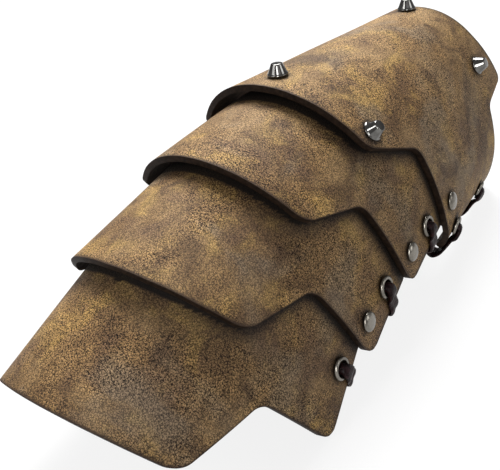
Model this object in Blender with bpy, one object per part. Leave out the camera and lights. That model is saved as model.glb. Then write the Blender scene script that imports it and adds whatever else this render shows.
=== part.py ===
# Layered leather bracer: four overlapping lames, riveted at the sides and laced underneath.
# Sizes in metres, angles in degrees. An angle on a lame is counted around it from the ridge.
import bpy
import bmesh
import math
import numpy as np
from mathutils import Matrix, Vector

for _old in list(bpy.data.objects):
    bpy.data.objects.remove(_old, do_unlink=True)

# leather
LEATHER = 0.0026            # wall of every lame
NEST_STEP = 0.0038          # how much narrower each next lame is
CLEAR = 0.0003              # air left between pieces that touch
CORNER_OUT = 0.0075         # rounding of the tongue's points
CORNER_IN = 0.0065          # rounding inside the notch
CORNER_TAB = 0.0070         # rounding of the side tab
REST_FLAT = 0.0005          # how much the lowest corners are pressed flat

# arch of lame_1 at station 0, and how it changes along the bracer (per metre of length)
HALF_WIDTH = 0.0588
WIDTH_TAPER = -0.143
RIDGE_HEIGHT = 0.0860
RIDGE_TAPER = -0.164
UNDER_DEPTH = 0.0300
UNDER_TAPER = 0.2875        # only beyond the station UNDER_DATUM
UNDER_DATUM = 0.0480
PLATE_TAPER = -0.037        # extra taper of the long plate
PLATE_DATUM = 0.0240        # station from which that extra taper counts
SHOULDER = 0.026            # fullness of the shoulders over a plain ellipse

# outline of each lame, stations along its own length, right half (the left half mirrors it)
# columns: pitch, pivot station, pivot height, ridge drop, tongue angle, tongue station,
#          tongue bulge, notch angle, notch depth, tab angle, tab step,
#          rear ridge station, rear side station, rear tab angle
COLUMNS = ("pitch", "pivot", "lift", "drop", "tongue_a", "tongue", "bulge", "notch_a", "notch",
           "tab_a", "tab", "rear_mid", "rear_side", "rear_a")
LAME_ROWS = (
    (0.5, 0.0660, 0.0004, 0.0003, 46.1, 0.0152, 0.0038, 58.2, 0.0278, 124.0, 0.0047, 0.1266, 0.1226, 138.0),
    (7.0, 0.0480, 0.0018, 0.0028, 44.6, -0.0211, 0.0024, 55.0, 0.0263, 88.7, 0.0038, 0.0300, 0.0520, 90.0),
    (14.3, 0.0060, -0.0002, 0.0079, 46.5, -0.0576, 0.0047, 56.8, 0.0288, 89.1, 0.0006, -0.0060, 0.0160, 90.5),
    (25.0, -0.036, -0.0044, 0.016, 46.8, -0.0961, 0.0007, 59.8, 0.0312, 90.9, 0.0004, -0.044, -0.020, 91.5),
)
LAMES = [dict(zip(COLUMNS, row)) for row in LAME_ROWS]
BACK_POINT_A = 72.5         # long plate's rear point and the step beside it
BACK_POINT = 0.1405
BACK_STEP = 0.0208
BACK_STEP_A = 76.0
EDGE_BOW = 2.2              # how late the long plate's side edge curls under

# studs, two rows of three on the long plate
STUD_BASE = 0.0085
STUD_TOP = 0.0046
STUD_HEIGHT = 0.0047
STUD_RIM = 0.0008
STUD_SCREW = 0.0030
STUD_FOOT = 0.0075
STUD_SIDES = 12
STUD_ROWS = ((0.1208, 56.4, 56.4), (0.0232, 43.1, 47.5))    # station, right and left angle

# cap rivets, one per side where two lames overlap: lame number, station, angle
RIVET_CAP = 0.0080
RIVET_DOME = 0.0020
RIVET_RIM = 0.0007
RIVET_SHANK = 0.0030
RIVET_FOOT = 0.0075
RIVETS = ((0, 0.0533, 83.2), (1, 0.0165, 80.1), (2, -0.0195, 80.0))

# eyelets: lame number, station, angle, how far the lace moves along while it goes round the edge
EYELET_OUTER = 0.0092
EYELET_BORE = 0.0056
EYELET_BARREL = 0.0066
EYELET_ROLL = 0.0014
EYELET_CURL = 0.0009
EYELETS = ((0, 0.0975, 115.0, 0.0110), (0, 0.0555, 102.0, 0.0080), (1, 0.0334, 81.4, 0.0045),
           (2, -0.0023, 81.2, 0.0045), (3, -0.0396, 83.4, 0.0045))

FOOT_THICK = 0.0008         # rivet and stud feet inside the leather
LACE = 0.0036               # lace, thick and round here
KNOT = (0.0100, 0.0085, 0.0075)
TAIL = 0.0300               # free end of the lace past the knot
KNOT_AHEAD = 0.0060
LACE_REACH = 0.0045         # how straight the lace comes to an eyelet inside
LACE_STAND = 0.0009         # how far it stands off the eyelet's flange
LACE_LOOSE = 0.0008         # how loosely it goes round the side edge


def station_axes(i, y):
    """Half width, ridge height and lower depth of lame i's outer face at station y."""
    extra = PLATE_TAPER * (y - PLATE_DATUM) if i == 0 else 0.0
    width = HALF_WIDTH + WIDTH_TAPER * y + extra - NEST_STEP * i
    ridge = RIDGE_HEIGHT + RIDGE_TAPER * y + extra - LAMES[i]["drop"]
    under = UNDER_DEPTH + UNDER_TAPER * max(0.0, y - UNDER_DATUM) - NEST_STEP * i
    return width, ridge, under


def skin(i, angle, y):
    """World point on lame i's outer face, before the part is set down."""
    lame = LAMES[i]
    width, ridge, under = station_axes(i, y)
    t = math.radians(angle)
    full = 1.0 + SHOULDER * math.sin(2 * t) ** 2 if abs(angle) < 90 else 1.0
    x = width * math.sin(t) * full
    z = (ridge if abs(angle) < 90 else under) * math.cos(t) * full
    p = math.radians(lame["pitch"])
    u = y - lame["pivot"]
    return Vector((x, lame["pivot"] + u * math.cos(p) - z * math.sin(p),
                   lame["lift"] + u * math.sin(p) + z * math.cos(p)))


def outward(i, angle, y):
    """Outward normal of lame i at that place."""
    around = skin(i, angle + 0.4, y) - skin(i, angle - 0.4, y)
    along = skin(i, angle, y + 0.0005) - skin(i, angle, y - 0.0005)
    n = along.cross(around)
    n.normalize()
    side = skin(i, angle, y) - skin(i, angle + 180.0 if angle < 0 else angle - 180.0, y)
    return n if n.dot(side) > 0 else -n


def rounded(points, radii, steps=3):
    """Polyline with its inner corners turned into arcs."""
    out = [points[0]]
    for k in range(1, len(points) - 1):
        a, b, c = (np.array(points[k - 1]), np.array(points[k]), np.array(points[k + 1]))
        u, v = (a - b), (c - b)
        lu, lv = np.linalg.norm(u), np.linalg.norm(v)
        u, v = u / lu, v / lv
        half = 0.5 * math.acos(max(-1.0, min(1.0, float(u @ v))))
        reach = min(radii[k - 1] / math.tan(half), 0.45 * lu, 0.45 * lv)
        radius = reach * math.tan(half)
        if radius < 1e-5:
            out.append(tuple(b))
            continue
        mid = (u + v) / np.linalg.norm(u + v)
        centre = b + mid * radius / math.sin(half)
        p0, p1 = b + u * reach, b + v * reach
        a0, a1 = p0 - centre, p1 - centre
        total = math.acos(max(-1.0, min(1.0, float(a0 @ a1) / radius ** 2)))
        for j in range(steps + 1):
            f = j / steps
            if total < 1e-6:
                q = p0
            else:
                q = centre + (math.sin((1 - f) * total) * a0 + math.sin(f * total) * a1) / math.sin(total)
            out.append((float(q[0]), float(q[1])))
    out.append(points[-1])
    return out


def edge_angle(i, y):
    """Angle of lame i's side edge at station y."""
    lame = LAMES[i]
    y0 = lame["tongue"] + lame["notch"] + lame["tab"]
    f = (y - y0) / (lame["rear_side"] - y0)
    return lame["tab_a"] + (lame["rear_a"] - lame["tab_a"]) * max(0.0, min(1.0, f)) ** EDGE_BOW


def outline(i):
    """Front and rear edges of lame i's right half as (share of the edge angle, station)."""
    lame = LAMES[i]
    arc = math.radians(1.0) * HALF_WIDTH
    tongue, notch = lame["tongue"], lame["tongue"] + lame["notch"]
    tab = notch + lame["tab"]
    middle = 0.5 * (tab + lame["rear_side"])
    front = [(0.0, tongue - lame["bulge"])]
    for f in (0.35, 0.7):
        front.append((f * lame["tongue_a"] * arc, tongue - lame["bulge"] * (1 - f * f)))
    front += [(lame["tongue_a"] * arc, tongue), (lame["notch_a"] * arc, notch), (lame["tab_a"] * arc, tab),
              (lame["tab_a"] * arc, middle)]
    front = rounded(front, [0.03, 0.03, CORNER_OUT, CORNER_IN, CORNER_TAB])[:-1]
    if i == 0:
        hip = lame["rear_mid"] + 0.45 * (BACK_POINT - lame["rear_mid"])
        rear = [(0.0, lame["rear_mid"]), (0.6 * BACK_POINT_A * arc, hip),
                (BACK_POINT_A * arc, BACK_POINT), (BACK_STEP_A * arc, BACK_POINT - BACK_STEP),
                (lame["rear_a"] * arc, lame["rear_side"]), (lame["rear_a"] * arc, middle)]
        radii = [0.05, 0.003, 0.004, CORNER_TAB]
    else:
        rear = [(0.0, lame["rear_mid"]), (0.3 * lame["rear_a"] * arc, lame["rear_mid"]),
                (0.75 * lame["rear_a"] * arc, lame["rear_side"]),
                (lame["rear_a"] * arc, lame["rear_side"]), (lame["rear_a"] * arc, middle)]
        radii = [0.02, 0.02, CORNER_TAB]
    rear = rounded(rear, radii)[:-1]
    share = []
    for line in (front, rear):
        pts = []
        for s, y in line:
            v = min(1.0, s / arc / edge_angle(i, y))
            if not pts or v > pts[-1][0] + 1e-4:
                pts.append((v, y))
            elif v >= pts[-1][0] - 1e-4 and v > 0.999:
                pts[-1] = (1.0, y)
        share.append(pts)
    return share


def grid(i, rows=3, facet=9.0):
    """Shares around lame i, and its front and rear station at each."""
    front, rear = outline(i)
    spacing = facet / LAMES[i]["rear_a"]
    v = sorted(set([round(p[0], 5) for p in front + rear]) | {1.0})
    fill = [v[0]]
    for a in v[1:]:
        if a - fill[-1] < 0.003 and a < 0.9999:
            continue
        n = max(1, math.ceil((a - fill[-1]) / spacing))
        b = fill[-1]
        fill += [b + (a - b) * (k + 1) / n for k in range(n)]
    half = np.array(fill)
    yf = np.interp(half, [p[0] for p in front], [p[1] for p in front])
    yr = np.interp(half, [p[0] for p in rear], [p[1] for p in rear])
    v = np.concatenate([-half[:0:-1], half])
    return v, np.concatenate([yf[:0:-1], yf]), np.concatenate([yr[:0:-1], yr]), rows


def lame_mesh(i):
    """Closed sheet of lame i: outer face, inner face one wall in, and its edges."""
    v, yf, yr, rows = grid(i)
    n = len(v)
    outer, inner = [], []
    for k in range(rows + 1):
        for j in range(n):
            y = yf[j] + (yr[j] - yf[j]) * k / rows
            a = v[j] * edge_angle(i, y)
            p = skin(i, a, y)
            outer.append(p)
            inner.append(p - outward(i, a, y) * LEATHER)
    m = len(outer)
    faces = []
    for k in range(rows):
        for j in range(n - 1):
            q = (k * n + j, k * n + j + 1, (k + 1) * n + j + 1, (k + 1) * n + j)
            faces.append(q)
            faces.append(tuple(m + c for c in reversed(q)))
    ring = ([j for j in range(n)] + [k * n + n - 1 for k in range(1, rows + 1)]
            + [rows * n + j for j in range(n - 2, -1, -1)] + [k * n for k in range(rows - 1, 0, -1)])
    for a, b in zip(ring, ring[1:] + ring[:1]):
        faces.append((b, a, m + a, m + b))
    return outer + inner, faces


def set_down():
    """Matrix that lays the bare lames on the ground, on the two stations they can stand on."""
    pts = np.array([tuple(p) for i in range(len(LAMES)) for p in lame_mesh(i)[0]])
    yz = pts[:, 1:]
    balance = float(np.mean(yz[:, 0]))
    low = []
    for p in sorted(map(tuple, yz)):
        while len(low) > 1 and ((low[-1][0] - low[-2][0]) * (p[1] - low[-2][1])
                                - (low[-1][1] - low[-2][1]) * (p[0] - low[-2][0])) <= 0:
            low.pop()
        low.append(p)
    for a, b in zip(low, low[1:]):
        if a[0] <= balance <= b[0]:
            break
    lean = math.atan2(b[1] - a[1], b[0] - a[0])
    turn = Matrix.Rotation(-lean, 4, "X")
    flat = np.array([tuple(turn @ Vector(p)) for p in pts])
    middle = 0.5 * (flat[:, 1].min() + flat[:, 1].max())
    return Matrix.Translation((0.0, -middle, -float(flat[:, 2].min()) - REST_FLAT)) @ turn


def lathe(profile, steps, ring=False):
    """Profile of (radius, height) turned about z. A ring's profile is a closed loop."""
    verts, faces = [], []
    if ring:
        n = len(profile)
        for k in range(steps):
            t = 2 * math.pi * k / steps
            verts += [Vector((r * math.cos(t), r * math.sin(t), z)) for r, z in profile]
        for k in range(steps):
            m = (k + 1) % steps
            for j in range(n):
                a = (j + 1) % n
                faces.append((k * n + j, m * n + j, m * n + a, k * n + a))
        return verts, faces
    body = profile[1:-1]
    n = len(body)
    verts = [Vector((0, 0, profile[0][1]))]
    for k in range(steps):
        t = 2 * math.pi * k / steps
        verts += [Vector((r * math.cos(t), r * math.sin(t), z)) for r, z in body]
    verts.append(Vector((0, 0, profile[-1][1])))
    last = len(verts) - 1
    for k in range(steps):
        a, b = 1 + k * n, 1 + ((k + 1) % steps) * n
        faces.append((0, b, a))
        faces.append((last, a + n - 1, b + n - 1))
        for j in range(n - 1):
            faces.append((a + j, b + j, b + j + 1, a + j + 1))
    return verts, faces


def frame_at(i, angle, y, offset=0.0):
    """Matrix with its z axis along the outward normal of lame i at that place."""
    n = outward(i, angle, y)
    along = (skin(i, angle, y + 0.0005) - skin(i, angle, y - 0.0005)).normalized()
    x = along
    yy = n.cross(x).normalized()
    x = yy.cross(n).normalized()
    m = Matrix.Identity(4)
    for k in range(3):
        m[k][0], m[k][1], m[k][2] = x[k], yy[k], n[k]
    o = skin(i, angle, y) + n * offset
    m[0][3], m[1][3], m[2][3] = o
    return m


def colour(name, rgb, rough, metal=0.0):
    """Plain surface material."""
    mat = bpy.data.materials.get(name) or bpy.data.materials.new(name)
    mat.use_nodes = True
    s = mat.node_tree.nodes["Principled BSDF"]
    s.inputs["Base Color"].default_value = (*rgb, 1.0)
    s.inputs["Roughness"].default_value = rough
    s.inputs["Metallic"].default_value = metal
    return mat


DOWN = set_down()
TAN = ("lame leather", (0.17, 0.095, 0.042), 0.6, 0.0)
DARK = ("lace leather", (0.035, 0.017, 0.015), 0.6, 0.0)
GUN = ("gunmetal", (0.16, 0.15, 0.145), 0.25, 1.0)
NICKEL = ("old nickel", (0.42, 0.40, 0.37), 0.35, 1.0)

HOME = bpy.data.collections.new("layered leather bracer")
bpy.context.scene.collection.children.link(HOME)
TOOLS = bpy.data.collections.new("cutters")
bpy.context.scene.collection.children.link(TOOLS)
MADE = []


def put(name, verts, faces, look, smooth=False, cutter=False):
    """New object from world points, in the part's collection or the cutters' one."""
    me = bpy.data.meshes.new(name)
    me.from_pydata([tuple(DOWN @ Vector(p)) for p in verts], [], faces)
    me.validate()
    me.update()
    ob = bpy.data.objects.new(name, me)
    if cutter:
        TOOLS.objects.link(ob)
        ob.hide_render = True
        ob.display_type = "WIRE"
    else:
        HOME.objects.link(ob)
        me.materials.append(colour(*look))
        MADE.append(ob)
    return ob


def press_flat(ob):
    """Trim what would reach below the ground, which leaves small flat pads."""
    bm = bmesh.new()
    bm.from_mesh(ob.data)
    if min(v.co.z for v in bm.verts) < 0:
        cut = bmesh.ops.bisect_plane(bm, geom=bm.verts[:] + bm.edges[:] + bm.faces[:], dist=1e-7,
                                     plane_co=(0, 0, 0), plane_no=(0, 0, 1), clear_inner=True)
        rim = [g for g in cut["geom_cut"] if isinstance(g, bmesh.types.BMEdge)]
        bmesh.ops.holes_fill(bm, edges=rim, sides=0)
    bmesh.ops.recalc_face_normals(bm, faces=bm.faces[:])
    bm.to_mesh(ob.data)
    bm.free()


def both_sides(i, angle, y):
    """The place itself and its mirror image."""
    return (("right", angle), ("left", -angle)) if angle else (("mid", 0.0),)


def drill(targets, matrix, radius, name):
    """Round hole through the leather along the matrix's z axis."""
    reach = 5 * LEATHER + 2 * NEST_STEP
    verts, faces = lathe([(0, -reach), (radius, -reach), (radius, reach), (0, reach)], 12)
    tool = put(name, [matrix @ p for p in verts], faces, None, cutter=True)
    for ob in targets:
        cut = ob.modifiers.new(name, "BOOLEAN")
        cut.operation = "DIFFERENCE"
        cut.solver = "EXACT"
        cut.object = tool


# lames
lames = []
for i in range(len(LAMES)):
    verts, faces = lame_mesh(i)
    lames.append(put("lame_%d" % (i + 1), verts, faces, TAN))
    press_flat(lames[-1])


def dip(i, angle, y, radius):
    """How far the leather curves away from a flat foot of that radius."""
    m = frame_at(i, angle, y)
    step = math.degrees(radius / HALF_WIDTH) * 1.35
    n = m.to_3x3() @ Vector((0, 0, 1))
    return max(-(skin(i, angle + s * step, y) - m.translation).dot(n) for s in (-1.0, 1.0))


# cone studs
number = 1
for y, a_right, a_left in STUD_ROWS:
    for name, a in (("left", -a_left), ("mid", 0.0), ("right", a_right)):
        m = frame_at(0, a, y)
        low = CLEAR
        foot = -LEATHER - CLEAR - dip(0, a, y, STUD_FOOT / 2)
        prof = [(0, foot - FOOT_THICK), (STUD_FOOT / 2, foot - FOOT_THICK), (STUD_FOOT / 2, foot),
                (STUD_SCREW / 2, foot), (STUD_SCREW / 2, low), (STUD_BASE / 2, low),
                (STUD_BASE / 2, low + STUD_RIM),
                (STUD_TOP / 2, low + STUD_HEIGHT), (0, low + STUD_HEIGHT)]
        verts, faces = lathe(prof, STUD_SIDES)
        put("cone_stud_%d" % number, [m @ p for p in verts], faces, GUN)
        drill([lames[0]], m, STUD_SCREW / 2 + CLEAR, "stud hole %d" % number)
        number += 1


def thickness_at(matrix, i):
    """Depth of the inner face of the lame under lame i, along the matrix's inward axis."""
    o, n = matrix.translation, matrix.to_3x3() @ Vector((0, 0, 1))
    best = None
    for da in np.linspace(-12, 12, 49):
        for dy in np.linspace(-0.012, 0.012, 25):
            y = i[1] + dy
            a = i[2] + da
            p = skin(i[0] + 1, a, y)
            d = p - o
            off = (d - n * d.dot(n)).length
            if best is None or off < best[0]:
                best = (off, -d.dot(n))
    return best[1] + LEATHER


# rivets
for k, row in enumerate(RIVETS):
    i, y, a_right = row
    deep = thickness_at(frame_at(i, a_right, y), row)
    for side, a in both_sides(i, a_right, y):
        m = frame_at(i, a, y)
        low = CLEAR
        foot = -deep - CLEAR - dip(i + 1, a, y, RIVET_FOOT / 2)
        r = RIVET_CAP / 2
        dome = RIVET_DOME - RIVET_RIM
        prof = [(0, foot - FOOT_THICK), (RIVET_FOOT / 2, foot - FOOT_THICK), (RIVET_FOOT / 2, foot),
                (RIVET_SHANK / 2, foot), (RIVET_SHANK / 2, low), (r, low), (r, low + RIVET_RIM),
                (r * 0.80, low + RIVET_RIM + 0.60 * dome), (r * 0.42, low + RIVET_RIM + 0.92 * dome),
                (0, low + RIVET_DOME)]
        verts, faces = lathe(prof, 12)
        put("rivet_%d_%s" % (k + 1, side), [m @ p for p in verts], faces, NICKEL)
        drill([lames[i], lames[i + 1]], m, RIVET_SHANK / 2 + CLEAR, "rivet hole %d %s" % (k + 1, side))

# eyelets
HOLES = {}
for k, (i, y, a_right, drift) in enumerate(EYELETS):
    for side, a in both_sides(i, a_right, y):
        m = frame_at(i, a, y)
        r, b, q = EYELET_OUTER / 2, EYELET_BARREL / 2, EYELET_BORE / 2
        top = CLEAR
        low = -LEATHER - CLEAR - dip(i, a, y, r)
        h = EYELET_ROLL
        prof = [(b, low), (b, top), (r, top), (r, top + 0.4 * h), (r - 0.6 * h, top + h),
                (q + 0.4 * h, top + 0.8 * h),
                (q, top), (q, low - EYELET_CURL), (r - 0.5 * h, low - EYELET_CURL), (r - 0.5 * h, low)]
        verts, faces = lathe(prof, 12, ring=True)
        put("eyelet_%d_%s" % (k + 1, side), [m @ p for p in verts], faces, NICKEL)
        HOLES[(k, side)] = (m, i, y, a, top + h, drift)
        drill([lames[i]], m, EYELET_BARREL / 2 + CLEAR, "eyelet hole %d %s" % (k + 1, side))


def lace_turn(k, side):
    """Lace through eyelet k from the inside, down the leather and round its side edge."""
    m, i, y, a, top, drift = HOLES[(k, side)]
    c, n = m.translation, (m.to_3x3() @ Vector((0, 0, 1)))
    far = math.copysign(edge_angle(i, y - drift), a)
    e = (skin(i, a + math.copysign(0.5, a), y) - skin(i, a, y)).normalized()
    r = LACE / 2
    pts = [c - n * (LEATHER + LACE_REACH), c + n * (top - 0.1 * r), c + n * (top + 0.95 * r) + e * (0.6 * r)]
    for f, high in ((0.38, top + LACE_STAND), (0.68, LACE_STAND), (0.95, LACE_LOOSE)):
        angle, station = a + (far - a) * f, y - drift * f
        pts.append(skin(i, angle, station) + outward(i, angle, station) * (high + r))
    edge, up = skin(i, far, y - drift), outward(i, far, y - drift)
    out = (edge - skin(i, far - math.copysign(0.5, a), y - drift)).normalized()
    middle, reach = edge - up * (0.5 * LEATHER), 0.5 * LEATHER + r + LACE_LOOSE
    for turn in (35.0, -10.0, -55.0):
        t = math.radians(turn)
        pts.append(middle + out * (reach * math.cos(t)) + up * (reach * math.sin(t)))
    pts.append(middle - up * reach - out * (0.5 * reach))
    return pts


def lace_route():
    """The lace's centre line, from one loose end through all eyelets to the other."""
    strands = []
    for first, tier in (("left", 1.0), ("right", -1.0)):
        other = {"left": "right", "right": "left"}
        side, pts = first, []
        for k in range(len(EYELETS)):
            turn = lace_turn(k, side)
            if pts:
                mid = 0.5 * (pts[-1] + turn[0])
                mid.z += tier * (LACE / 2 + CLEAR)
                pts.append(mid)
            pts += turn
            side = other[side]
        end = "left" if pts[-1].x < 0 else "right"
        sign = -1.0 if end == "left" else 1.0
        stop = KNOT_AT + Vector((sign * (KNOT[0] / 2 + CLEAR), 0, 0))
        pts += [pts[-1] * 0.45 + stop * 0.55 + Vector((0, 0, 0.0004)), stop]
        strands.append(pts)
    a, b = strands
    bar = 0.5 * (a[0] + b[0]) + Vector((0, 0, 0.002))
    return a[::-1] + [bar] + b


def knot_place():
    """Middle between the last two eyelets' edges, a little ahead of them."""
    ends = [lace_turn(len(EYELETS) - 1, side)[-1] for side in ("left", "right")]
    return 0.5 * (ends[0] + ends[1]) + Vector((0, -KNOT_AHEAD, 0))


def tube(points, radius, sides=8):
    """Closed tube of flat rings along the points."""
    verts, faces = [], []
    up = Vector((0.1, 0.2, 1.0))
    n = len(points)
    for k, p in enumerate(points):
        d = (points[min(n - 1, k + 1)] - points[max(0, k - 1)]).normalized()
        x = d.cross(up).normalized()
        y = d.cross(x).normalized()
        up = -y
        verts += [p + (x * math.cos(t) + y * math.sin(t)) * radius
                  for t in (2 * math.pi * j / sides for j in range(sides))]
    for k in range(n - 1):
        for j in range(sides):
            a, b = k * sides + j, k * sides + (j + 1) % sides
            faces.append((a, b, b + sides, a + sides))
    faces.append(tuple(range(sides - 1, -1, -1)))
    faces.append(tuple((n - 1) * sides + j for j in range(sides)))
    return verts, faces


KNOT_AT = knot_place()
route = lace_route()
curve = bpy.data.curves.new("lace", "CURVE")
curve.dimensions = "3D"
curve.bevel_depth = LACE / 2
curve.bevel_resolution = 1
curve.use_fill_caps = True
spline = curve.splines.new("POLY")
spline.points.add(len(route) - 1)
for point, p in zip(spline.points, route):
    point.co = (*(DOWN @ p), 1.0)
lace = bpy.data.objects.new("lace", curve)
HOME.objects.link(lace)
curve.materials.append(colour(*DARK))

# knot: a tight ball of lace with two short ends that fall to the ground
a, b, c = (KNOT[0] / 2, KNOT[1] / 2, KNOT[2] / 2)
half = [(0, c), (0.55 * a, 0.84 * c), (0.9 * a, 0.42 * c)]
prof = [(r, -z) for r, z in half] + [(a, 0)] + half[::-1]
verts, faces = lathe(prof, 14)
knot = put("lace_knot", [KNOT_AT + Vector((p.x, p.y * b / a, p.z)) for p in verts], faces, DARK)
UP = DOWN.inverted()
for name, sign in (("left", -1.0), ("right", 1.0)):
    top = DOWN @ KNOT_AT
    floor = LACE / 2 + CLEAR
    pts = []
    for f in (0.0, 0.25, 0.5, 0.75, 1.0):
        x = sign * TAIL * 0.55 * f
        y = -TAIL * 0.75 * f
        pts.append(UP @ Vector((x, top.y + y, floor + (top.z - floor) * (1 - f) ** 1.6)))
    verts, faces = tube(pts, 0.45 * LACE)
    tail = put("tail " + name, verts, faces, None, cutter=True)
    join = knot.modifiers.new(name, "BOOLEAN")
    join.operation = "UNION"
    join.solver = "EXACT"
    join.object = tail
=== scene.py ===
import bpy
import math
import numpy as np
from mathutils import Matrix, Vector, noise
from mathutils.kdtree import KDTree


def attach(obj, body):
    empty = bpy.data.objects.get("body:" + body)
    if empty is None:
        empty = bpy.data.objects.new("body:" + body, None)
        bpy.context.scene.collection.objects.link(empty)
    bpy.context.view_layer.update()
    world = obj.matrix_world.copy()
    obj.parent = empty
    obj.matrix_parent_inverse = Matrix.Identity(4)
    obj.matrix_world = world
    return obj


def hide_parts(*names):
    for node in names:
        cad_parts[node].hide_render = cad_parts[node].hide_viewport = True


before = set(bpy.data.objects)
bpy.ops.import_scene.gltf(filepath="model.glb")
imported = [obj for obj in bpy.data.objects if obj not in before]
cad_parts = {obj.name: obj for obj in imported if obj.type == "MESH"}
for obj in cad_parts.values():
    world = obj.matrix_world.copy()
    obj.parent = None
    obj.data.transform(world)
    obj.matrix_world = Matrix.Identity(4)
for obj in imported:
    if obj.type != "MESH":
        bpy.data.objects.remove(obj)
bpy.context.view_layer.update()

# sizes in metres, angles in degrees; down to DOWN the values are those of the CAD source
LEATHER = 0.0026
NEST_STEP = 0.0038
CLEAR = 0.0003
CORNER_OUT = 0.0075
CORNER_IN = 0.0065
CORNER_TAB = 0.0070
HALF_WIDTH = 0.0588
WIDTH_TAPER = -0.143
RIDGE_HEIGHT = 0.0860
RIDGE_TAPER = -0.164
UNDER_DEPTH = 0.0300
UNDER_TAPER = 0.2875
UNDER_DATUM = 0.0480
PLATE_TAPER = -0.037
PLATE_DATUM = 0.0240
SHOULDER = 0.026
COLUMNS = ("pitch", "pivot", "lift", "drop", "tongue_a", "tongue", "bulge",
           "notch_a", "notch", "tab_a", "tab", "rear_mid", "rear_side", "rear_a")
LAME_ROWS = (
    (0.5, 0.0660, 0.0004, 0.0003, 46.1, 0.0152, 0.0038,
     58.2, 0.0278, 124.0, 0.0047, 0.1266, 0.1226, 138.0),
    (7.0, 0.0480, 0.0018, 0.0028, 44.6, -0.0211, 0.0024,
     55.0, 0.0263, 88.7, 0.0038, 0.0300, 0.0520, 90.0),
    (14.3, 0.0060, -0.0002, 0.0079, 46.5, -0.0576, 0.0047,
     56.8, 0.0288, 89.1, 0.0006, -0.0060, 0.0160, 90.5),
    (25.0, -0.0360, -0.0044, 0.0160, 46.8, -0.0961, 0.0007,
     59.8, 0.0312, 90.9, 0.0004, -0.0440, -0.0200, 91.5),
)
LAMES = [dict(zip(COLUMNS, row)) for row in LAME_ROWS]
BACK_POINT_A = 72.5          # long plate's rear point and the step beside it
BACK_POINT = 0.1405
BACK_STEP = 0.0208
BACK_STEP_A = 76.0
EDGE_BOW = 2.2
STUD_BASE = 0.0085
STUD_TOP = 0.0046
STUD_HEIGHT = 0.0047
STUD_ROWS = ((0.1208, 56.4, 56.4), (0.0232, 43.1, 47.5))    # station, right and left angle
RIVET_CAP = 0.0080
RIVET_DOME = 0.0020
RIVETS = ((0, 0.0533, 83.2), (1, 0.0165, 80.1), (2, -0.0195, 80.0))   # lame, station, angle
FOOT = 0.0075                # foot and shank of studs and rivets inside the leather
FOOT_THICK = 0.0008
SHANK = 0.0030
EYELET_OUTER = 0.0092
EYELET_BORE = 0.0056
EYELET_BARREL = 0.0066
EYELET_ROLL = 0.0014
EYELETS = ((0, 0.0975, 115.0, 0.0110), (0, 0.0555, 102.0, 0.0080), (1, 0.0334, 81.4, 0.0045),
           (2, -0.0023, 81.2, 0.0045), (3, -0.0396, 83.4, 0.0045))    # and the lace's drift
LACE = 0.0036
KNOT_LENGTH = 0.0100
TAIL = 0.0300
KNOT_AHEAD = 0.0060
LACE_REACH = 0.0045
# how the CAD source lays the part on the ground
DOWN = Matrix(((1, 0, 0, 0),
               (0, 0.994119, -0.108292, -0.002326),
               (0, 0.108292, 0.994119, 0.020952),
               (0, 0, 0, 1)))

# outline: shares and bend radii that the CAD source also uses
TONGUE_SHARES = (0.35, 0.7)  # where the tongue's bulging front is placed
TONGUE_BEND = 0.03
HIP_A_SHARE = 0.6            # bend between the long plate's rear middle and its rear point
HIP_SHARE = 0.45
HIP_BEND = 0.05
POINT_BEND = 0.003
STEP_BEND = 0.004
REAR_FLAT = 0.3              # rear edge of the other lames
REAR_TURN = 0.75
REAR_BEND = 0.02
LAST_UNDERLAP = 0.0030       # extra leather of the last lame, hidden under the one above
UNDERLAP_SLANT = 20          # and how far that draws in the turn of its rear edge

# sheet: mesh, softness and shading
NUDGE = 0.0005               # half spans over which slopes are measured
NUDGE_A = 0.4
MESH_STEP = 0.0013
RIM_RINGS = (0.0, 0.0006, 0.0013, 0.0024)    # mesh rows beside an edge, from that edge
RIM_VALUES = (1.0, 0.75, 0.2, 0.0)           # how much of the edge paint each row takes
FIRST_ROW = 0.0041           # the even rows start here
SOFT_EDGE = 0.0011
SOFT_STEPS = 4
SHARP = 55                   # corners over this angle are softened
RIPPLE = 0.00035
RIPPLE_SCALE = 22.0
SHADE_FULL = 0.0014          # the leather is darkest this close to the lame above
SHADE_FADE = 0.0055          # and fades over this length
SHADE_CURVE = 1.5
OVERLAP_SPOTS = 900
HALO = 0.0020                # width of the painted shade round a fastener
HALO_SHADE = 0.75
LOWEST = 0.0002              # no leather below this height

# fittings
LATHE_SIDES = 48
FOOT_TIP = 0.0030            # radius of the foot's chamfered end
DOME_STEPS = (0.06, 0.14, 0.24, 0.36, 0.5, 0.64, 0.78, 0.9, 0.97)
DOME_RIM = 0.0004
CONE_SHARES = (0.06, 0.12, 0.88, 0.94)       # keep the smooth shading of the cone's side straight
ROLL_STEPS = 12

# lace: a flat strap along the CAD lace's route, close round the edges
STRAP_HALF = 0.0035
STRAP_THICK = 0.0008
STRAP_SIDES = 16
PINCHED_HALF = 0.0021        # half width and half thickness where an eyelet or knot squeezes it
PINCHED_THICK = 0.0016
STRAP_AIR = 0.0002
OVER_RING = 0.0042           # the strap clears the eyelet's ring this far out
PAST_RING = 0.0060           # and lies on the leather again from here
AT_EDGE = 0.95               # share of the way to the side edge where it starts to turn
# how much of the CAD cord's drift the wide strap keeps at each eyelet
DRIFT_SHARES = (1.0, 1.0, 0.0, 0.3, 0.0)
TURN_SQUEEZE = (1.0, 1.0, 0.7, 0.2) + 7 * (0.0,)
PATH_STEP = 0.0006
WRINKLE = 0.00016
WRINKLE_SCALE = 420.0
CREASE = 0.0003              # groove along the middle of the strap
CREASE_WIDTH = 0.35
KNOT_TURNS = 96
TAIL_STEPS = 40
TAIL_HALF = 0.0022

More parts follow.
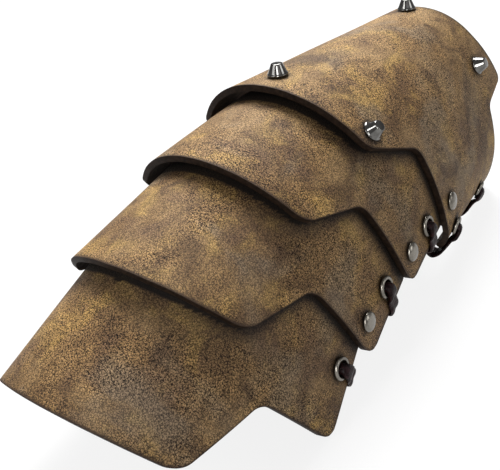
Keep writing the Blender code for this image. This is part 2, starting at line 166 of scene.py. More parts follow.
# camera, solved from the photograph
FOCAL_PIXELS = 803.0
PHOTO_WIDTH = 500.0
SENSOR = 36.0
CAMERA_RIGHT = Vector((0.7608, 0.5953, -0.2584))
CAMERA_UP = Vector((-0.2027, 0.5962, 0.7768))
CAMERA_AHEAD = Vector((-0.6165, 0.5387, -0.5743))
CAMERA_AT = Vector((0.1995, -0.1921, 0.2177))

SIDES = (("right", 1.0), ("left", -1.0))
OTHER = {"left": "right", "right": "left"}
AHEAD = Vector((0, -1, 0))
BLACK, WHITE = (0, 0, 0), (1, 1, 1)


# shape of the lames
def station_axes(i, y):
    """Half width, ridge height and depth under the side of lame i at a station."""
    extra = PLATE_TAPER * (y - PLATE_DATUM) if i == 0 else 0.0
    width = HALF_WIDTH + WIDTH_TAPER * y + extra - NEST_STEP * i
    ridge = RIDGE_HEIGHT + RIDGE_TAPER * y + extra - LAMES[i]["drop"]
    under = UNDER_DEPTH + UNDER_TAPER * max(0.0, y - UNDER_DATUM) - NEST_STEP * i
    return width, ridge, under


def skin(i, angle, y):
    """Point on lame i's outer face, before the part is set down."""
    lame = LAMES[i]
    width, ridge, under = station_axes(i, y)
    t = math.radians(angle)
    full = 1.0 + SHOULDER * math.sin(2 * t) ** 2 if abs(angle) < 90 else 1.0
    x = width * math.sin(t) * full
    z = (ridge if abs(angle) < 90 else under) * math.cos(t) * full
    p = math.radians(lame["pitch"])
    u = y - lame["pivot"]
    return Vector((x, lame["pivot"] + u * math.cos(p) - z * math.sin(p),
                   lame["lift"] + u * math.sin(p) + z * math.cos(p)))


def outward(i, angle, y):
    """Outward normal of lame i at that place."""
    around = skin(i, angle + NUDGE_A, y) - skin(i, angle - NUDGE_A, y)
    along = skin(i, angle, y + NUDGE) - skin(i, angle, y - NUDGE)
    n = along.cross(around)
    n.normalize()
    side = skin(i, angle, y) - skin(i, angle + 180.0 if angle < 0 else angle - 180.0, y)
    return n if n.dot(side) > 0 else -n


def axes_matrix(x, y, z, origin):
    """Matrix with these three axes at that place."""
    return Matrix(((x.x, y.x, z.x, origin.x), (x.y, y.y, z.y, origin.y),
                   (x.z, y.z, z.z, origin.z), (0, 0, 0, 1)))


def frame_at(i, angle, y):
    """Matrix with its z axis along the outward normal of lame i at that place."""
    n = outward(i, angle, y)
    along = (skin(i, angle, y + NUDGE) - skin(i, angle, y - NUDGE)).normalized()
    yy = n.cross(along).normalized()
    x = yy.cross(n).normalized()
    return axes_matrix(x, yy, n, skin(i, angle, y))


def axis(m, k):
    """Direction of a matrix's axis 0, 1 or 2."""
    return m.to_3x3().col[k].copy()


def rounded(points, radii, steps=9):
    """Polyline with its inner corners turned into arcs."""
    out = [points[0]]
    for k in range(1, len(points) - 1):
        a, b, c = (np.array(points[k - 1]), np.array(points[k]), np.array(points[k + 1]))
        u, v = (a - b), (c - b)
        lu, lv = np.linalg.norm(u), np.linalg.norm(v)
        u, v = u / lu, v / lv
        half = 0.5 * math.acos(max(-1.0, min(1.0, float(u @ v))))
        reach = min(radii[k - 1] / math.tan(half), 0.45 * lu, 0.45 * lv)
        radius = reach * math.tan(half)
        mid = (u + v) / np.linalg.norm(u + v)
        centre = b + mid * radius / math.sin(half)
        a0, a1 = b + u * reach - centre, b + v * reach - centre
        total = math.acos(max(-1.0, min(1.0, float(a0 @ a1) / radius ** 2)))
        for j in range(steps + 1):
            f = j / steps
            if total < 1e-6:
                q = centre + a0
            else:
                q = centre + (math.sin((1 - f) * total) * a0
                              + math.sin(f * total) * a1) / math.sin(total)
            out.append((float(q[0]), float(q[1])))
    out.append(points[-1])
    return out


def edge_angle(i, y):
    """Angle of lame i's side edge at a station."""
    lame = LAMES[i]
    y0 = lame["tongue"] + lame["notch"] + lame["tab"]
    f = (y - y0) / (lame["rear_side"] - y0)
    return lame["tab_a"] + (lame["rear_a"] - lame["tab_a"]) * max(0.0, min(1.0, f)) ** EDGE_BOW


def outline(i):
    """Front and rear edges of lame i's right half as (share of the edge angle, station)."""
    lame = LAMES[i]
    arc = math.radians(1.0) * HALF_WIDTH
    tongue, notch = lame["tongue"], lame["tongue"] + lame["notch"]
    tab = notch + lame["tab"]
    tongue_a, tab_a, rear_a = lame["tongue_a"], lame["tab_a"], lame["rear_a"]
    rear_mid, rear_side = lame["rear_mid"], lame["rear_side"]
    front = [(0.0, tongue - lame["bulge"])]
    for f in TONGUE_SHARES:
        front.append((f * tongue_a * arc, tongue - lame["bulge"] * (1 - f * f)))
    front += [(tongue_a * arc, tongue), (lame["notch_a"] * arc, notch), (tab_a * arc, tab),
              (tab_a * arc, 0.5 * (tab + rear_side))]
    radii = [TONGUE_BEND, TONGUE_BEND, CORNER_OUT, CORNER_IN, CORNER_TAB]
    front = rounded(front, radii)[:-1]
    if i == 0:
        rear = [(0.0, rear_mid),
                (HIP_A_SHARE * BACK_POINT_A * arc, rear_mid + HIP_SHARE * (BACK_POINT - rear_mid)),
                (BACK_POINT_A * arc, BACK_POINT), (BACK_STEP_A * arc, BACK_POINT - BACK_STEP),
                (rear_a * arc, rear_side)]
        radii = [HIP_BEND, POINT_BEND, STEP_BEND, CORNER_TAB]
    else:
        more = LAST_UNDERLAP if i == len(LAMES) - 1 else 0.0
        rear = [(0.0, rear_mid + more), (REAR_FLAT * rear_a * arc, rear_mid + more),
                ((REAR_TURN - UNDERLAP_SLANT * more) * rear_a * arc, rear_side),
                (rear_a * arc, rear_side)]
        radii = [REAR_BEND, REAR_BEND, CORNER_TAB]
    rear = rounded(rear + [(rear_a * arc, 0.5 * (tab + rear_side))], radii)[:-1]
    share = []
    for line in (front, rear):
        pts = []
        for s, y in line:
            v = min(1.0, s / arc / edge_angle(i, y))
            if not pts or v > pts[-1][0] + 1e-4:
                pts.append((v, y))
            elif v >= pts[-1][0] - 1e-4 and v > 0.999:
                pts[-1] = (1.0, y)
        share.append(pts)
    return share


# materials
def new_material(name):
    mat = bpy.data.materials.new(name)
    mat.use_nodes = True
    nt = mat.node_tree
    return mat, nt, nt.nodes["Principled BSDF"]


def node(nt, kind, **values):
    """New node; settings first, because they change which inputs it has."""
    n = nt.nodes.new(kind)
    for k, v in values.items():
        if hasattr(n, k):
            setattr(n, k, v)
    for k, v in values.items():
        if not hasattr(n, k):
            n.inputs[k].default_value = v
    return n


def object_place(nt):
    return nt.nodes.new("ShaderNodeTexCoord").outputs["Object"]


def texture(nt, kind, scale, place, **more):
    n = node(nt, kind, Scale=scale, **more)
    nt.links.new(place, n.inputs["Vector"])
    return n


def ramp(nt, source, stops):
    r = nt.nodes.new("ShaderNodeValToRGB")
    while len(r.color_ramp.elements) < len(stops):
        r.color_ramp.elements.new(0.5)
    for e, (p, c) in zip(r.color_ramp.elements, stops):
        e.position = p
        e.color = (*c, 1.0)
    nt.links.new(source, r.inputs[0])
    return r.outputs[0]


def mask(nt, source, low, high):
    """0 where the source is under the low value, 1 over the high one."""
    return ramp(nt, source, ((low, BLACK), (high, WHITE)))


def mix(nt, kind, fac, a, b):
    m = nt.nodes.new("ShaderNodeMix")
    m.data_type = "RGBA"
    m.blend_type = kind
    for sock, v in ((m.inputs[0], fac), (m.inputs[6], a), (m.inputs[7], b)):
        if isinstance(v, bpy.types.NodeSocket):
            nt.links.new(v, sock)
        else:
            sock.default_value = v if isinstance(v, float) else (*v, 1.0)
    return m.outputs[2]


def math_node(nt, op, a, b):
    m = nt.nodes.new("ShaderNodeMath")
    m.operation = op
    for k, v in enumerate((a, b)):
        if isinstance(v, bpy.types.NodeSocket):
            nt.links.new(v, m.inputs[k])
        else:
            m.inputs[k].default_value = v
    return m.outputs[0]


def weighted(nt, a, share_a, b, share_b):
    """Sum of two values, each times its own share."""
    return math_node(nt, "ADD", math_node(nt, "MULTIPLY", a, share_a),
                     math_node(nt, "MULTIPLY", b, share_b))


def remap(nt, source, from_low, from_high, to_low, to_high):
    r = nt.nodes.new("ShaderNodeMapRange")
    nt.links.new(source, r.inputs[0])
    for k, v in enumerate((from_low, from_high, to_low, to_high)):
        r.inputs[k + 1].default_value = v
    return r.outputs[0]


def bump(nt, height, strength, distance, under=None):
    """Bump from a height, on top of another bump where one is given."""
    b = node(nt, "ShaderNodeBump", Strength=strength, Distance=distance)
    nt.links.new(height, b.inputs["Height"])
    if under is not None:
        nt.links.new(under, b.inputs["Normal"])
    return b.outputs[0]


def attribute(nt, word):
    return node(nt, "ShaderNodeAttribute", attribute_name=word).outputs["Fac"]


def cloud(nt, place, scale, seed, detail, twist):
    return texture(nt, "ShaderNodeTexNoise", scale, place, noise_dimensions="4D", W=seed,
                   Detail=detail, Roughness=0.55, Distortion=twist).outputs["Fac"]


BASE_TONES = ((0.38, (0.110, 0.066, 0.034)), (0.46, (0.172, 0.108, 0.053)),
              (0.54, (0.222, 0.144, 0.072)), (0.63, (0.285, 0.190, 0.096)))
# gold, plum, ash and dirt laid over the base: cloud, span of its values, amount, colour
CLOUDS = (((44.0, 3.0, 4.0, 1.6), 0.52, 0.63, 0.60, (0.350, 0.235, 0.086)),
          ((38.0, 9.0, 3.0, 0.8), 0.52, 0.63, 0.60, (0.118, 0.073, 0.050)),
          ((30.0, 14.0, 3.0, 0.6), 0.53, 0.63, 0.55, (0.185, 0.150, 0.116)),
          ((50.0, 21.0, 4.0, 1.0), 0.53, 0.65, 0.68, (0.066, 0.038, 0.023)))
WARP = 0.0016                # how far the crackle's pattern is pushed about
CELLS = ((1100.0, 0.03, 0.20), (1900.0, 0.0, 0.24))     # scale, span of the distance to an edge
CRACK_TINT = (0.03, 0.02, 0.015)
RAISED_TINT = (2.18, 2.02, 1.66)
SMOOTH_WORN = (0.62, 0.62, 0.62)
SHADE_COLOUR = (0.007, 0.0042, 0.003)
SHADE_AMOUNT = 0.96
RIM_COLOUR = (0.030, 0.0165, 0.0095)


def crackle(nt, place):
    """Grain, 0 in the cracks: cell edges of two sizes on a slightly warped pattern, and specks."""
    warp = texture(nt, "ShaderNodeTexNoise", 520.0, place, Detail=2.0, Roughness=0.6)
    push = node(nt, "ShaderNodeVectorMath", operation="MULTIPLY_ADD")
    nt.links.new(warp.outputs["Color"], push.inputs[0])
    push.inputs[1].default_value = (WARP, WARP, WARP)
    nt.links.new(place, push.inputs[2])
    lines = []
    for scale, low, high in CELLS:
        cells = texture(nt, "ShaderNodeTexVoronoi", scale, push.outputs[0],
                        feature="DISTANCE_TO_EDGE")
        lines.append(mask(nt, cells.outputs["Distance"], low, high))
    fine = texture(nt, "ShaderNodeTexNoise", 2300.0, place, Detail=2.0, Roughness=0.6,
                   Distortion=0.7)
    specks = mask(nt, fine.outputs["Fac"], 0.44, 0.56)
    return weighted(nt, weighted(nt, lines[0], 0.55, lines[1], 0.45), 0.65, specks, 0.35)


def leather_material():
    mat, nt, s = new_material("distressed leather")
    co = object_place(nt)
    big, mid = cloud(nt, co, 22.0, 0.0, 2.0, 0.5), cloud(nt, co, 80.0, 1.0, 4.0, 0.8)
    base = ramp(nt, weighted(nt, big, 0.5, mid, 0.5), BASE_TONES)
    for field, low, high, amount, colour in CLOUDS:
        cover = mask(nt, cloud(nt, co, *field), low, high)
        base = mix(nt, "MIX", math_node(nt, "MULTIPLY", cover, amount), base, colour)
    grain = crackle(nt, co)
    # how worn the grain is here: strongly cracked, or smooth
    worn = ramp(nt, cloud(nt, co, 34.0, 30.0, 2.0, 0.7), ((0.42, SMOOTH_WORN), (0.55, WHITE)))
    dark = mix(nt, "MULTIPLY", 1.0, base, CRACK_TINT)
    light = mix(nt, "MULTIPLY", 1.0, base, RAISED_TINT)
    base = mix(nt, "MIX", worn, base, mix(nt, "MIX", mask(nt, grain, 0.28, 0.84), dark, light))
    # painted shade: darker under the lame above and round the studs, rivets and eyelets
    shade = math_node(nt, "MULTIPLY", attribute(nt, "shade"), SHADE_AMOUNT)
    base = mix(nt, "MIX", shade, base, SHADE_COLOUR)
    base = mix(nt, "MIX", attribute(nt, "rim"), base, RIM_COLOUR)
    nt.links.new(base, s.inputs["Base Color"])
    nt.links.new(remap(nt, grain, 0.2, 0.8, 0.75, 0.55), s.inputs["Roughness"])
    s.inputs["Specular IOR Level"].default_value = 0.14
    height = bump(nt, mid, 0.25, 0.0012, under=bump(nt, grain, 0.4, 0.0003))
    nt.links.new(height, s.inputs["Normal"])
    return mat


def plain_leather(name, dark, light, span, rough, specular, strength, depth, scale, **more):
    """One dark brown, a little uneven: painted edge, bare flesh side or lace."""
    mat, nt, s = new_material(name)
    n = texture(nt, "ShaderNodeTexNoise", scale, object_place(nt), Detail=4.0, **more)
    tone = ramp(nt, n.outputs["Fac"], ((span[0], dark), (span[1], light)))
    nt.links.new(tone, s.inputs["Base Color"])
    s.inputs["Roughness"].default_value = rough
    s.inputs["Specular IOR Level"].default_value = specular
    nt.links.new(bump(nt, n.outputs["Fac"], strength, depth), s.inputs["Normal"])
    return mat


def edge_material(name, dark, light, rough, specular):
    return plain_leather(name, dark, light, (0.38, 0.62), rough, specular, 0.3, 0.0004, 600.0,
                         Roughness=0.6)


def metal_material(name, dark, light, smooth, rough, scale):
    """Metal with worn, slightly uneven colour and roughness."""
    mat, nt, s = new_material(name)
    n = texture(nt, "ShaderNodeTexNoise", scale, object_place(nt), Detail=4.0, Roughness=0.6)
    tone = ramp(nt, n.outputs["Fac"], ((0.38, dark), (0.58, light)))
    nt.links.new(tone, s.inputs["Base Color"])
    s.inputs["Metallic"].default_value = 1.0
    nt.links.new(remap(nt, n.outputs["Fac"], 0.0, 1.0, rough, smooth), s.inputs["Roughness"])
    return mat


HIDE = leather_material()
EDGE = edge_material("painted edge", (0.012, 0.0068, 0.0042), (0.028, 0.0162, 0.0098), 0.60, 0.06)
FLESH = edge_material("flesh side", (0.030, 0.018, 0.011), (0.060, 0.037, 0.023), 0.85, 0.1)
THONG = plain_leather("dark lace leather", (0.004, 0.0014, 0.0017), (0.030, 0.0105, 0.0115),
                      (0.38, 0.66), 0.38, 0.07, 0.6, 0.0005, 650.0, Distortion=1.0)
GUN = metal_material("gunmetal", (0.105, 0.102, 0.096), (0.165, 0.161, 0.152), 0.09, 0.14, 300.0)
NICKEL = metal_material("old nickel", (0.135, 0.123, 0.105), (0.21, 0.195, 0.17),
                        0.24, 0.32, 260.0)


def make(name, verts, faces, mat, replaced):
    """New visual piece in the row frame that stands for a CAD node."""
    me = bpy.data.meshes.new(name)
    me.from_pydata([tuple(p) for p in verts], [], faces)
    me.validate()
    me.materials.append(mat)
    for p in me.polygons:
        p.use_smooth = True
    me.update()
    ob = bpy.data.objects.new(name, me)
    bpy.context.scene.collection.objects.link(ob)
    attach(ob, "root")
    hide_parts(replaced)
    return ob


# lames
FASTENERS = [[] for lame in LAMES]           # place and radius of each, by lame
for y, a_right, a_left in STUD_ROWS:
    FASTENERS[0] += [(skin(0, a, y), STUD_BASE / 2) for a in (-a_left, 0.0, a_right)]
for i, y, a in RIVETS:
    FASTENERS[i] += [(skin(i, sign * a, y), RIVET_CAP / 2) for sign in (-1, 1)]
for i, y, a, _ in EYELETS:
    FASTENERS[i] += [(skin(i, sign * a, y), EYELET_OUTER / 2) for sign in (-1, 1)]


def mirrored(half, sign):
    """Values of both halves from those of the right half, which starts at the middle."""
    return np.concatenate([sign * half[:0:-1], half])


def fine_shares(i):
    """Columns across the lame, close together where the outline turns, with both its edges."""
    front, rear = outline(i)
    v = sorted(set(round(p[0], 5) for p in front + rear) | {1.0})
    step = MESH_STEP / (math.radians(LAMES[i]["rear_a"]) * HALF_WIDTH)
    fill = [v[0]]
    for a in v[1:]:
        if a - fill[-1] < 0.25 * step and a < 0.9999:
            continue
        n = max(1, math.ceil((a - fill[-1]) / step))
        b = fill[-1]
        fill += [b + (a - b) * (k + 1) / n for k in range(n)]
    kept = {a for a in fill if a < 1 - 1.4 * step}
    half = np.array(sorted(kept | {1 - 0.5 * step, 1 - step, 1.0}))
    yf, yr = (np.interp(half, [p[0] for p in line], [p[1] for p in line])
              for line in (front, rear))
    return mirrored(half, -1.0), mirrored(yf, 1.0), mirrored(yr, 1.0)


def ripple(p):
    """Small unevenness of the sheet, in metres along its normal."""
    return RIPPLE * noise.noise(Vector((p.x, p.y, p.z)) * RIPPLE_SCALE)


def overlap_line(i):
    """Front edge of the lame above as a search tree, and the way its leather runs back."""
    if i == 0:
        return None
    share, front, _ = fine_shares(i - 1)
    where = np.linspace(0, len(share) - 1, OVERLAP_SPOTS)
    spots = []
    for v, y in zip(np.interp(where, range(len(share)), share),
                    np.interp(where, range(len(share)), front)):
        a = v * edge_angle(i - 1, y)
        q = skin(i - 1, a, y) - outward(i - 1, a, y) * LEATHER
        spots.append((q, (skin(i - 1, a, y + 0.001) - skin(i - 1, a, y)).normalized()))
    tree = KDTree(len(spots))
    for k, (q, _) in enumerate(spots):
        tree.insert(q, k)
    tree.balance()
    return tree, spots


def crease_shade(p, cast):
    """1 under the lame above, fading to 0 a few millimetres in front of it."""
    if cast is None:
        return 0.0
    tree, spots = cast
    q, k, d = tree.find(p)
    if (p - q).dot(spots[k][1]) > 0:
        return 1.0
    return max(0.0, 1.0 - max(0.0, d - SHADE_FULL) / SHADE_FADE) ** SHADE_CURVE


def fastener_shade(i, p):
    """Painted shade round the studs, rivets and eyelets of lame i, where they meet the leather."""
    gap = min(max(0.0, (p - q).length - r) for q, r in FASTENERS[i])
    return HALO_SHADE * max(0.0, 1.0 - gap / HALO)


def lame_piece(i):
    """Lame i as one sheet: outer face, edge and flesh side, with its edge paint and painted shade
    as attributes.
    """
    v, yf, yr = fine_shares(i)
    n = len(v)
    length = max(yr - yf)
    near = [r / length for r in RIM_RINGS]
    rows = np.linspace(FIRST_ROW / length, 1 - FIRST_ROW / length, int(length / MESH_STEP))
    ts = near + list(rows) + [1 - r for r in near[::-1]]
    last = len(ts) - 1
    outer, inner, rim, shade = [], [], [], []
    cast = overlap_line(i)
    for k, t in enumerate(ts):
        for j in range(n):
            y = yf[j] + (yr[j] - yf[j]) * t
            a = v[j] * edge_angle(i, y)
            p = skin(i, a, y)
            nrm = outward(i, a, y)
            d = ripple(p)
            outer.append(DOWN @ (p + nrm * d))
            inner.append(DOWN @ (p + nrm * (d - LEATHER)))
            rim.append(RIM_VALUES[min(k, last - k, j, n - 1 - j, len(RIM_VALUES) - 1)])
            shade.append(max(crease_shade(p, cast), fastener_shade(i, p)))
    m = len(outer)
    faces, parts = [], []
    for k in range(last):
        for j in range(n - 1):
            q = (k * n + j, k * n + j + 1, (k + 1) * n + j + 1, (k + 1) * n + j)
            faces += [q, tuple(m + c for c in reversed(q))]
            parts += [0, 2]
    ring = ([j for j in range(n)] + [k * n + n - 1 for k in range(1, last + 1)]
            + [last * n + j for j in range(n - 2, -1, -1)]
            + [k * n for k in range(last - 1, 0, -1)])
    for a, b in zip(ring, ring[1:] + ring[:1]):
        faces.append((b, a, m + a, m + b))
        parts.append(1)
    pts = outer + inner
    for p in pts:
        p.z = max(p.z, LOWEST)
    ob = make("leather_lame_%d" % (i + 1), pts, faces, HIDE, "lame_%d" % (i + 1))
    me = ob.data
    me.materials.append(EDGE)
    me.materials.append(FLESH)
    me.polygons.foreach_set("material_index", parts)
    for word, values in (("rim", rim), ("shade", shade)):
        at = me.attributes.new(word, "FLOAT", "POINT")
        at.data.foreach_set("value", values + values)
    bev = ob.modifiers.new("soft edge", "BEVEL")
    bev.width = SOFT_EDGE
    bev.segments = SOFT_STEPS
    bev.limit_method = "ANGLE"
    bev.angle_limit = math.radians(SHARP)


for i in range(len(LAMES)):
    lame_piece(i)


# fittings
def lathe(profile, ring=False):
    """Profile of (radius, height) turned about z; a ring's profile is a closed loop."""
    verts, faces = [], []
    n = len(profile)
    for k in range(LATHE_SIDES):
        t = 2 * math.pi * k / LATHE_SIDES
        verts += [Vector((r * math.cos(t), r * math.sin(t), z)) for r, z in profile]
    for k in range(LATHE_SIDES):
        m = (k + 1) % LATHE_SIDES
        for j in range(n if ring else n - 1):
            a = (j + 1) % n
            faces.append((k * n + j, m * n + j, m * n + a, k * n + a))
    if not ring:
        faces.append(tuple(k * n for k in range(LATHE_SIDES - 1, -1, -1)))
        faces.append(tuple(k * n + n - 1 for k in range(LATHE_SIDES)))
    return verts, faces


def dip(i, angle, y, radius):
    """How far the leather curves away from a flat foot of that radius."""
    m = frame_at(i, angle, y)
    step = math.degrees(radius / HALF_WIDTH) * 1.35
    n = axis(m, 2)
    return max(-(skin(i, angle + s * step, y) - m.translation).dot(n) for s in (-1.0, 1.0))


def foot_profile(top):
    """Foot inside the leather, from that height down, and the shank up to the face."""
    return [(FOOT_TIP, top - FOOT_THICK), (FOOT / 2, top - 0.5 * FOOT_THICK), (FOOT / 2, top),
            (SHANK / 2, top), (SHANK / 2, CLEAR)]


def rivet_depth(i, angle, y):
    """How deep the inside of the lame below lies, straight under the rivet."""
    m = frame_at(i, angle, y)
    o, n = m.translation, axis(m, 2)
    best = None
    for da in np.linspace(-12, 12, 25):
        for dy in np.linspace(-0.012, 0.012, 13):
            d = skin(i + 1, angle + da, y + dy) - o
            off = (d - n * d.dot(n)).length
            if best is None or off < best[0]:
                best = (off, -d.dot(n))
    return best[1] + LEATHER


number = 1
for y, a_right, a_left in STUD_ROWS:
    for a in (-a_left, 0.0, a_right):
        m = DOWN @ frame_at(0, a, y)
        b, t, h = STUD_BASE / 2, STUD_TOP / 2, STUD_HEIGHT
        prof = foot_profile(-LEATHER - CLEAR - dip(0, a, y, FOOT / 2))
        prof += [(b - 0.0002, CLEAR), (b, CLEAR + 0.0002), (b, CLEAR + 0.0006),
                 (b - 0.00012, CLEAR + 0.0008), (b - 0.0003, CLEAR + 0.0009)]
        low, high = prof[-1], (t + 0.00012, h + CLEAR - 0.0003)
        prof += [(low[0] + (high[0] - low[0]) * f, low[1] + (high[1] - low[1]) * f)
                 for f in CONE_SHARES]
        prof += [high, (t, h + CLEAR - 0.0001), (t - 0.0003, h + CLEAR), (t - 0.0012, h + CLEAR)]
        verts, faces = lathe(prof)
        make("stud_%d" % number, [m @ p for p in verts], faces, GUN,
             "cone_stud_%d" % number)
        number += 1

for k, (i, y, a_right) in enumerate(RIVETS):
    deep = rivet_depth(i, a_right, y)
    for side, sign in SIDES:
        a = sign * a_right
        m = DOWN @ frame_at(i, a, y)
        r = RIVET_CAP / 2
        prof = foot_profile(-deep - CLEAR - dip(i + 1, a, y, FOOT / 2))
        prof += [(r - 0.0003, CLEAR), (r, CLEAR + 0.0003)]
        for f in DOME_STEPS:
            q = f * math.pi / 2
            prof.append((r * math.cos(q) ** 0.85,
                         CLEAR + DOME_RIM + (RIVET_DOME - DOME_RIM) * math.sin(q)))
        verts, faces = lathe(prof)
        make("cap_rivet_%d_%s" % (k + 1, side), [m @ p for p in verts], faces, NICKEL,
             "rivet_%d_%s" % (k + 1, side))

HOLES = {}
for k, (i, y, a_right, drift) in enumerate(EYELETS):
    for side, sign in SIDES:
        a = sign * a_right
        m = frame_at(i, a, y)
        r, b, q, h = EYELET_OUTER / 2, EYELET_BARREL / 2, EYELET_BORE / 2, EYELET_ROLL
        low = -LEATHER - CLEAR - dip(i, a, y, r)
        prof = [(b, low), (b, CLEAR)]
        mid, half = 0.5 * (r + q), 0.5 * (r - q)
        for f in range(ROLL_STEPS + 1):
            t = math.pi * f / ROLL_STEPS
            prof.append((mid + half * math.cos(t),
                         CLEAR + h * (0.15 + 0.85 * math.sin(t) ** 0.8)))
        # down the bore and out under the leather
        prof += [(q, 0.0), (q, low), (q, low - 0.0006), (q + 0.0005, low - 0.0009),
                 (r - 0.0012, low - 0.0009), (r - 0.0007, low - 0.0005), (r - 0.0007, low)]
        verts, faces = lathe(prof, ring=True)
        make("lace_eyelet_%d_%s" % (k + 1, side), [DOWN @ (m @ p) for p in verts], faces, NICKEL,
             "eyelet_%d_%s" % (k + 1, side))
        HOLES[(k, side)] = (m, i, y, a, CLEAR + h, drift)


# lace
def lace_turn(k, side):
    """Strap through eyelet k from the inside, down the leather and round its side edge."""
    m, i, y, a, top, drift = HOLES[(k, side)]
    drift *= DRIFT_SHARES[k]
    c, n, fore = m.translation, axis(m, 2), -axis(m, 0)
    half_degree = math.copysign(0.5, a)
    far = math.copysign(edge_angle(i, y - drift), a)
    e = (skin(i, a + half_degree, y) - skin(i, a, y)).normalized()
    r = STRAP_THICK + STRAP_AIR
    run = (skin(i, far, y - drift) - skin(i, a, y)).length
    pts = [c - n * (LEATHER + LACE_REACH), c + n * (top - 0.1 * r),
           c + n * (top + 0.6 * r) + e * (0.8 * r)]
    over, past = OVER_RING / run, PAST_RING / run
    for f, high in ((over, top - 0.0003), (past, 0.0003), (0.5 * (past + AT_EDGE), 0.0),
                    (AT_EDGE, 0.0)):
        angle, station = a + (far - a) * f, y - drift * f
        pts.append(skin(i, angle, station) + outward(i, angle, station) * (high + r))
    edge, up = skin(i, far, y - drift), outward(i, far, y - drift)
    out = (edge - skin(i, far - half_degree, y - drift)).normalized()
    middle, reach = edge - up * (0.5 * LEATHER), 0.5 * LEATHER + r
    for turn in (40.0, 0.0, -40.0):
        t = math.radians(turn)
        pts.append(middle + out * (reach * math.cos(t)) + up * (reach * math.sin(t)))
    pts.append(middle - up * reach - out * (0.5 * reach))
    return [(p, fore, q) for p, q in zip(pts, TURN_SQUEEZE)]


def knot_place():
    ends = [lace_turn(len(EYELETS) - 1, side)[-1][0] for side in ("left", "right")]
    return 0.5 * (ends[0] + ends[1]) + KNOT_AHEAD * AHEAD


KNOT_AT = knot_place()


def lace_route():
    """The whole lace from knot to knot, as places with a width direction and a squeeze."""
    strands = []
    for first, tier in (("left", 1.0), ("right", -1.0)):
        side, pts = first, []
        for k in range(len(EYELETS)):
            turn = lace_turn(k, side)
            if pts:
                mid = 0.5 * (pts[-1][0] + turn[0][0])
                mid.z += tier * (LACE / 2 + CLEAR)
                pts.append((mid, AHEAD, 0.0))
            pts += turn
            side = OTHER[side]
        sign = -1.0 if pts[-1][0].x < 0 else 1.0
        stop = KNOT_AT + Vector((sign * (KNOT_LENGTH / 2 + CLEAR), 0, 0))
        pts += [(pts[-1][0] * 0.45 + stop * 0.55 + Vector((0, 0, 0.0004)), AHEAD, 0.0),
                (stop, AHEAD, 0.3)]
        strands.append(pts)
    a, b = strands
    bar = (0.5 * (a[0][0] + b[0][0]) + Vector((0, 0, 0.002)), AHEAD, 0.0)
    return a[::-1] + [bar] + b


def smooth_path(route):
    """Catmull-Rom through the route, sampled at even steps: place, width hint, squeeze."""
    pts = [DOWN @ p for p, _, _ in route]
    out = []
    for k in range(len(pts) - 1):
        p0, p1 = pts[max(0, k - 1)], pts[k]
        p2, p3 = pts[k + 1], pts[min(len(pts) - 1, k + 2)]
        t1 = max(1e-5, (p1 - p0).length ** 0.5)
        t2 = max(1e-5, (p2 - p1).length ** 0.5)
        t3 = max(1e-5, (p3 - p2).length ** 0.5)
        m1 = (p2 - p1) / t2 - (p2 - p0) / (t1 + t2) + (p1 - p0) / t1
        m2 = (p3 - p2) / t3 - (p3 - p1) / (t2 + t3) + (p2 - p1) / t2
        m1, m2 = m1 * t2, m2 * t2
        n = max(2, int((p2 - p1).length / PATH_STEP))
        for j in range(n):
            u = j / n
            p = (p1 * (2 * u ** 3 - 3 * u ** 2 + 1) + m1 * (u ** 3 - 2 * u ** 2 + u)
                 + p2 * (3 * u ** 2 - 2 * u ** 3) + m2 * (u ** 3 - u ** 2))
            w = route[k][1].lerp(route[k + 1][1], u)
            q = route[k][2] * (1 - u) + route[k + 1][2] * u
            out.append((p, DOWN.to_3x3() @ w, q))
    out.append((pts[-1], DOWN.to_3x3() @ route[-1][1], route[-1][2]))
    return out


def strap(path, half, thick):
    """Flat, creased and slightly wrinkled strap along a path."""
    verts, faces = [], []
    last = None
    for k, (p, hint, q) in enumerate(path):
        t = (path[min(len(path) - 1, k + 1)][0] - path[max(0, k - 1)][0]).normalized()
        w = hint - t * hint.dot(t)
        if w.length < 0.3 and last is not None:
            w = last - t * last.dot(t)
        w.normalize()
        if last is not None:
            if w.dot(last) < 0:
                w = -w
            w = (0.75 * last + 0.25 * w)
            w = (w - t * w.dot(t)).normalized()
        last = w
        n = t.cross(w)
        a = half + (PINCHED_HALF - half) * q
        b = thick + (PINCHED_THICK - thick) * q
        for j in range(STRAP_SIDES):
            s = 2 * math.pi * j / STRAP_SIDES
            x, z = math.cos(s), math.sin(s)
            x = math.copysign(abs(x) ** 0.8, x)
            z = math.copysign(abs(z) ** 0.7, z)
            r = noise.noise(p * WRINKLE_SCALE + Vector((x, z, 0)) * 0.7) * WRINKLE
            g = -CREASE * (1 - q) * math.exp(-(x / CREASE_WIDTH) ** 2) * (1 if z > 0 else -1)
            verts.append(p + w * (a * x) + n * (b * z + g + r))
    for k in range(len(path) - 1):
        for j in range(STRAP_SIDES):
            a, b = k * STRAP_SIDES + j, k * STRAP_SIDES + (j + 1) % STRAP_SIDES
            faces.append((a, b, b + STRAP_SIDES, a + STRAP_SIDES))
    faces.append(tuple(range(STRAP_SIDES - 1, -1, -1)))
    m = (len(path) - 1) * STRAP_SIDES
    faces.append(tuple(m + j for j in range(STRAP_SIDES)))
    return verts, faces


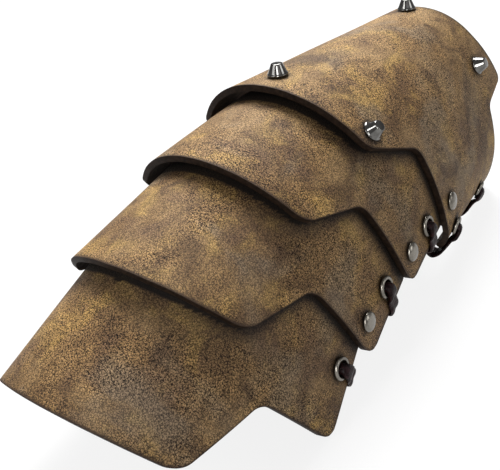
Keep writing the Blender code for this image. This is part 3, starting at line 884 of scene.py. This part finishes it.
def knot_parts():
    """A tight overhand knot and two short flat ends that fall to the ground."""
    top = DOWN @ KNOT_AT
    turns = []
    for k in range(KNOT_TURNS + 1):
        t = 2 * math.pi * k / KNOT_TURNS
        p = Vector(((math.sin(t) + 2 * math.sin(2 * t)) * 0.00105,
                    (math.cos(t) - 2 * math.cos(2 * t)) * 0.00090,
                    -math.sin(3 * t) * 0.0019))
        turns.append((top + p, Vector((p.x, p.y, 0.002)).normalized(), 0.6))
    parts = [strap(turns, 0.0018, 0.0013)]
    low = LACE / 2 - 0.0004
    for sign in (-1.0, 1.0):
        line = []
        for k in range(TAIL_STEPS + 1):
            f = k / TAIL_STEPS
            x, y = sign * TAIL * 0.55 * f, -TAIL * 0.75 * f
            height = low + (top.z - low) * (1 - f) ** 1.6 + 0.0004 * math.sin(9 * f)
            line.append((Vector((x, top.y + y, height)),
                         Vector((0.75, sign * 0.55, 0.0)).normalized(), 0.5 * (1 - f) ** 2))
        parts.append(strap(line, TAIL_HALF, STRAP_THICK))
    verts, faces = [], []
    for v, f in parts:
        m = len(verts)
        verts += v
        faces += [tuple(m + c for c in q) for q in f]
    return verts, faces


verts, faces = strap(smooth_path(lace_route()), STRAP_HALF, STRAP_THICK)
make("lace_strap", verts, faces, THONG, "lace")
verts, faces = knot_parts()
make("lace_knot_and_ends", verts, faces, THONG, "lace_knot")

# floor, light and camera
FLOOR_HALF = 15
me = bpy.data.meshes.new("floor")
me.from_pydata([(x * FLOOR_HALF, y * FLOOR_HALF, 0)
                for x, y in ((-1, -1), (1, -1), (1, 1), (-1, 1))], [], [(0, 1, 2, 3)])
floor = bpy.data.objects.new("floor", me)
bpy.context.scene.collection.objects.link(floor)
floor.location.z = -0.0002
mat, _, s = new_material("pale floor")
s.inputs["Base Color"].default_value = (0.12, 0.12, 0.12, 1)
s.inputs["Emission Color"].default_value = (1, 1, 1, 1)
s.inputs["Emission Strength"].default_value = 0.86
s.inputs["Roughness"].default_value = 0.9
s.inputs["Specular IOR Level"].default_value = 0.0
me.materials.append(mat)


def area(name, loc, target, size, power, tall=None):
    """Area light that faces a target; with a height it is a rectangle."""
    li = bpy.data.lights.new(name, "AREA")
    li.size = size
    if tall:
        li.shape = "RECTANGLE"
        li.size_y = tall
    li.energy = power
    ob = bpy.data.objects.new(name, li)
    bpy.context.scene.collection.objects.link(ob)
    ob.location = loc
    ob.rotation_euler = (Vector(target) - Vector(loc)).to_track_quat("-Z", "Y").to_euler()
    return ob


LIT = (0, 0, 0.05)
area("key", (-0.38, 0.55, 0.95), LIT, 0.6, 29.0)
area("strip", (-0.15, -0.75, 0.75), LIT, 0.22, 1.6)
area("fill", (0.9, -0.5, 0.7), LIT, 0.7, 0.8)
# tall cards that only the metal mirrors, at compass angles round the part
CARD_AWAY, CARD_UP, CARD_TALL = 0.85, 0.42, 0.5
for card, compass, wide, power in (("card middle", -52.0, 0.26, 6.0),
                                   ("card left", -112.0, 0.45, 2.6),
                                   ("card right", 22.0, 0.34, 1.9)):
    t = math.radians(compass)
    ob = area(card, (CARD_AWAY * math.cos(t), CARD_AWAY * math.sin(t), CARD_UP), (0, 0, 0.08),
              wide, power, CARD_TALL)
    ob.visible_diffuse = False
world = bpy.data.worlds.new("studio")
bpy.context.scene.world = world
world.use_nodes = True
bg = world.node_tree.nodes["Background"]
bg.inputs[0].default_value = (1, 1, 1, 1)
bg.inputs[1].default_value = 0.28

cam = bpy.data.cameras.new("camera")
cam.sensor_width = SENSOR
cam.lens = FOCAL_PIXELS / PHOTO_WIDTH * SENSOR
cam.clip_start = 0.01
camera = bpy.data.objects.new("camera", cam)
bpy.context.scene.collection.objects.link(camera)
camera.matrix_world = DOWN @ axes_matrix(CAMERA_RIGHT, CAMERA_UP, -CAMERA_AHEAD, CAMERA_AT)
bpy.context.scene.camera = camera
bpy.context.scene.view_settings.view_transform = "Standard"
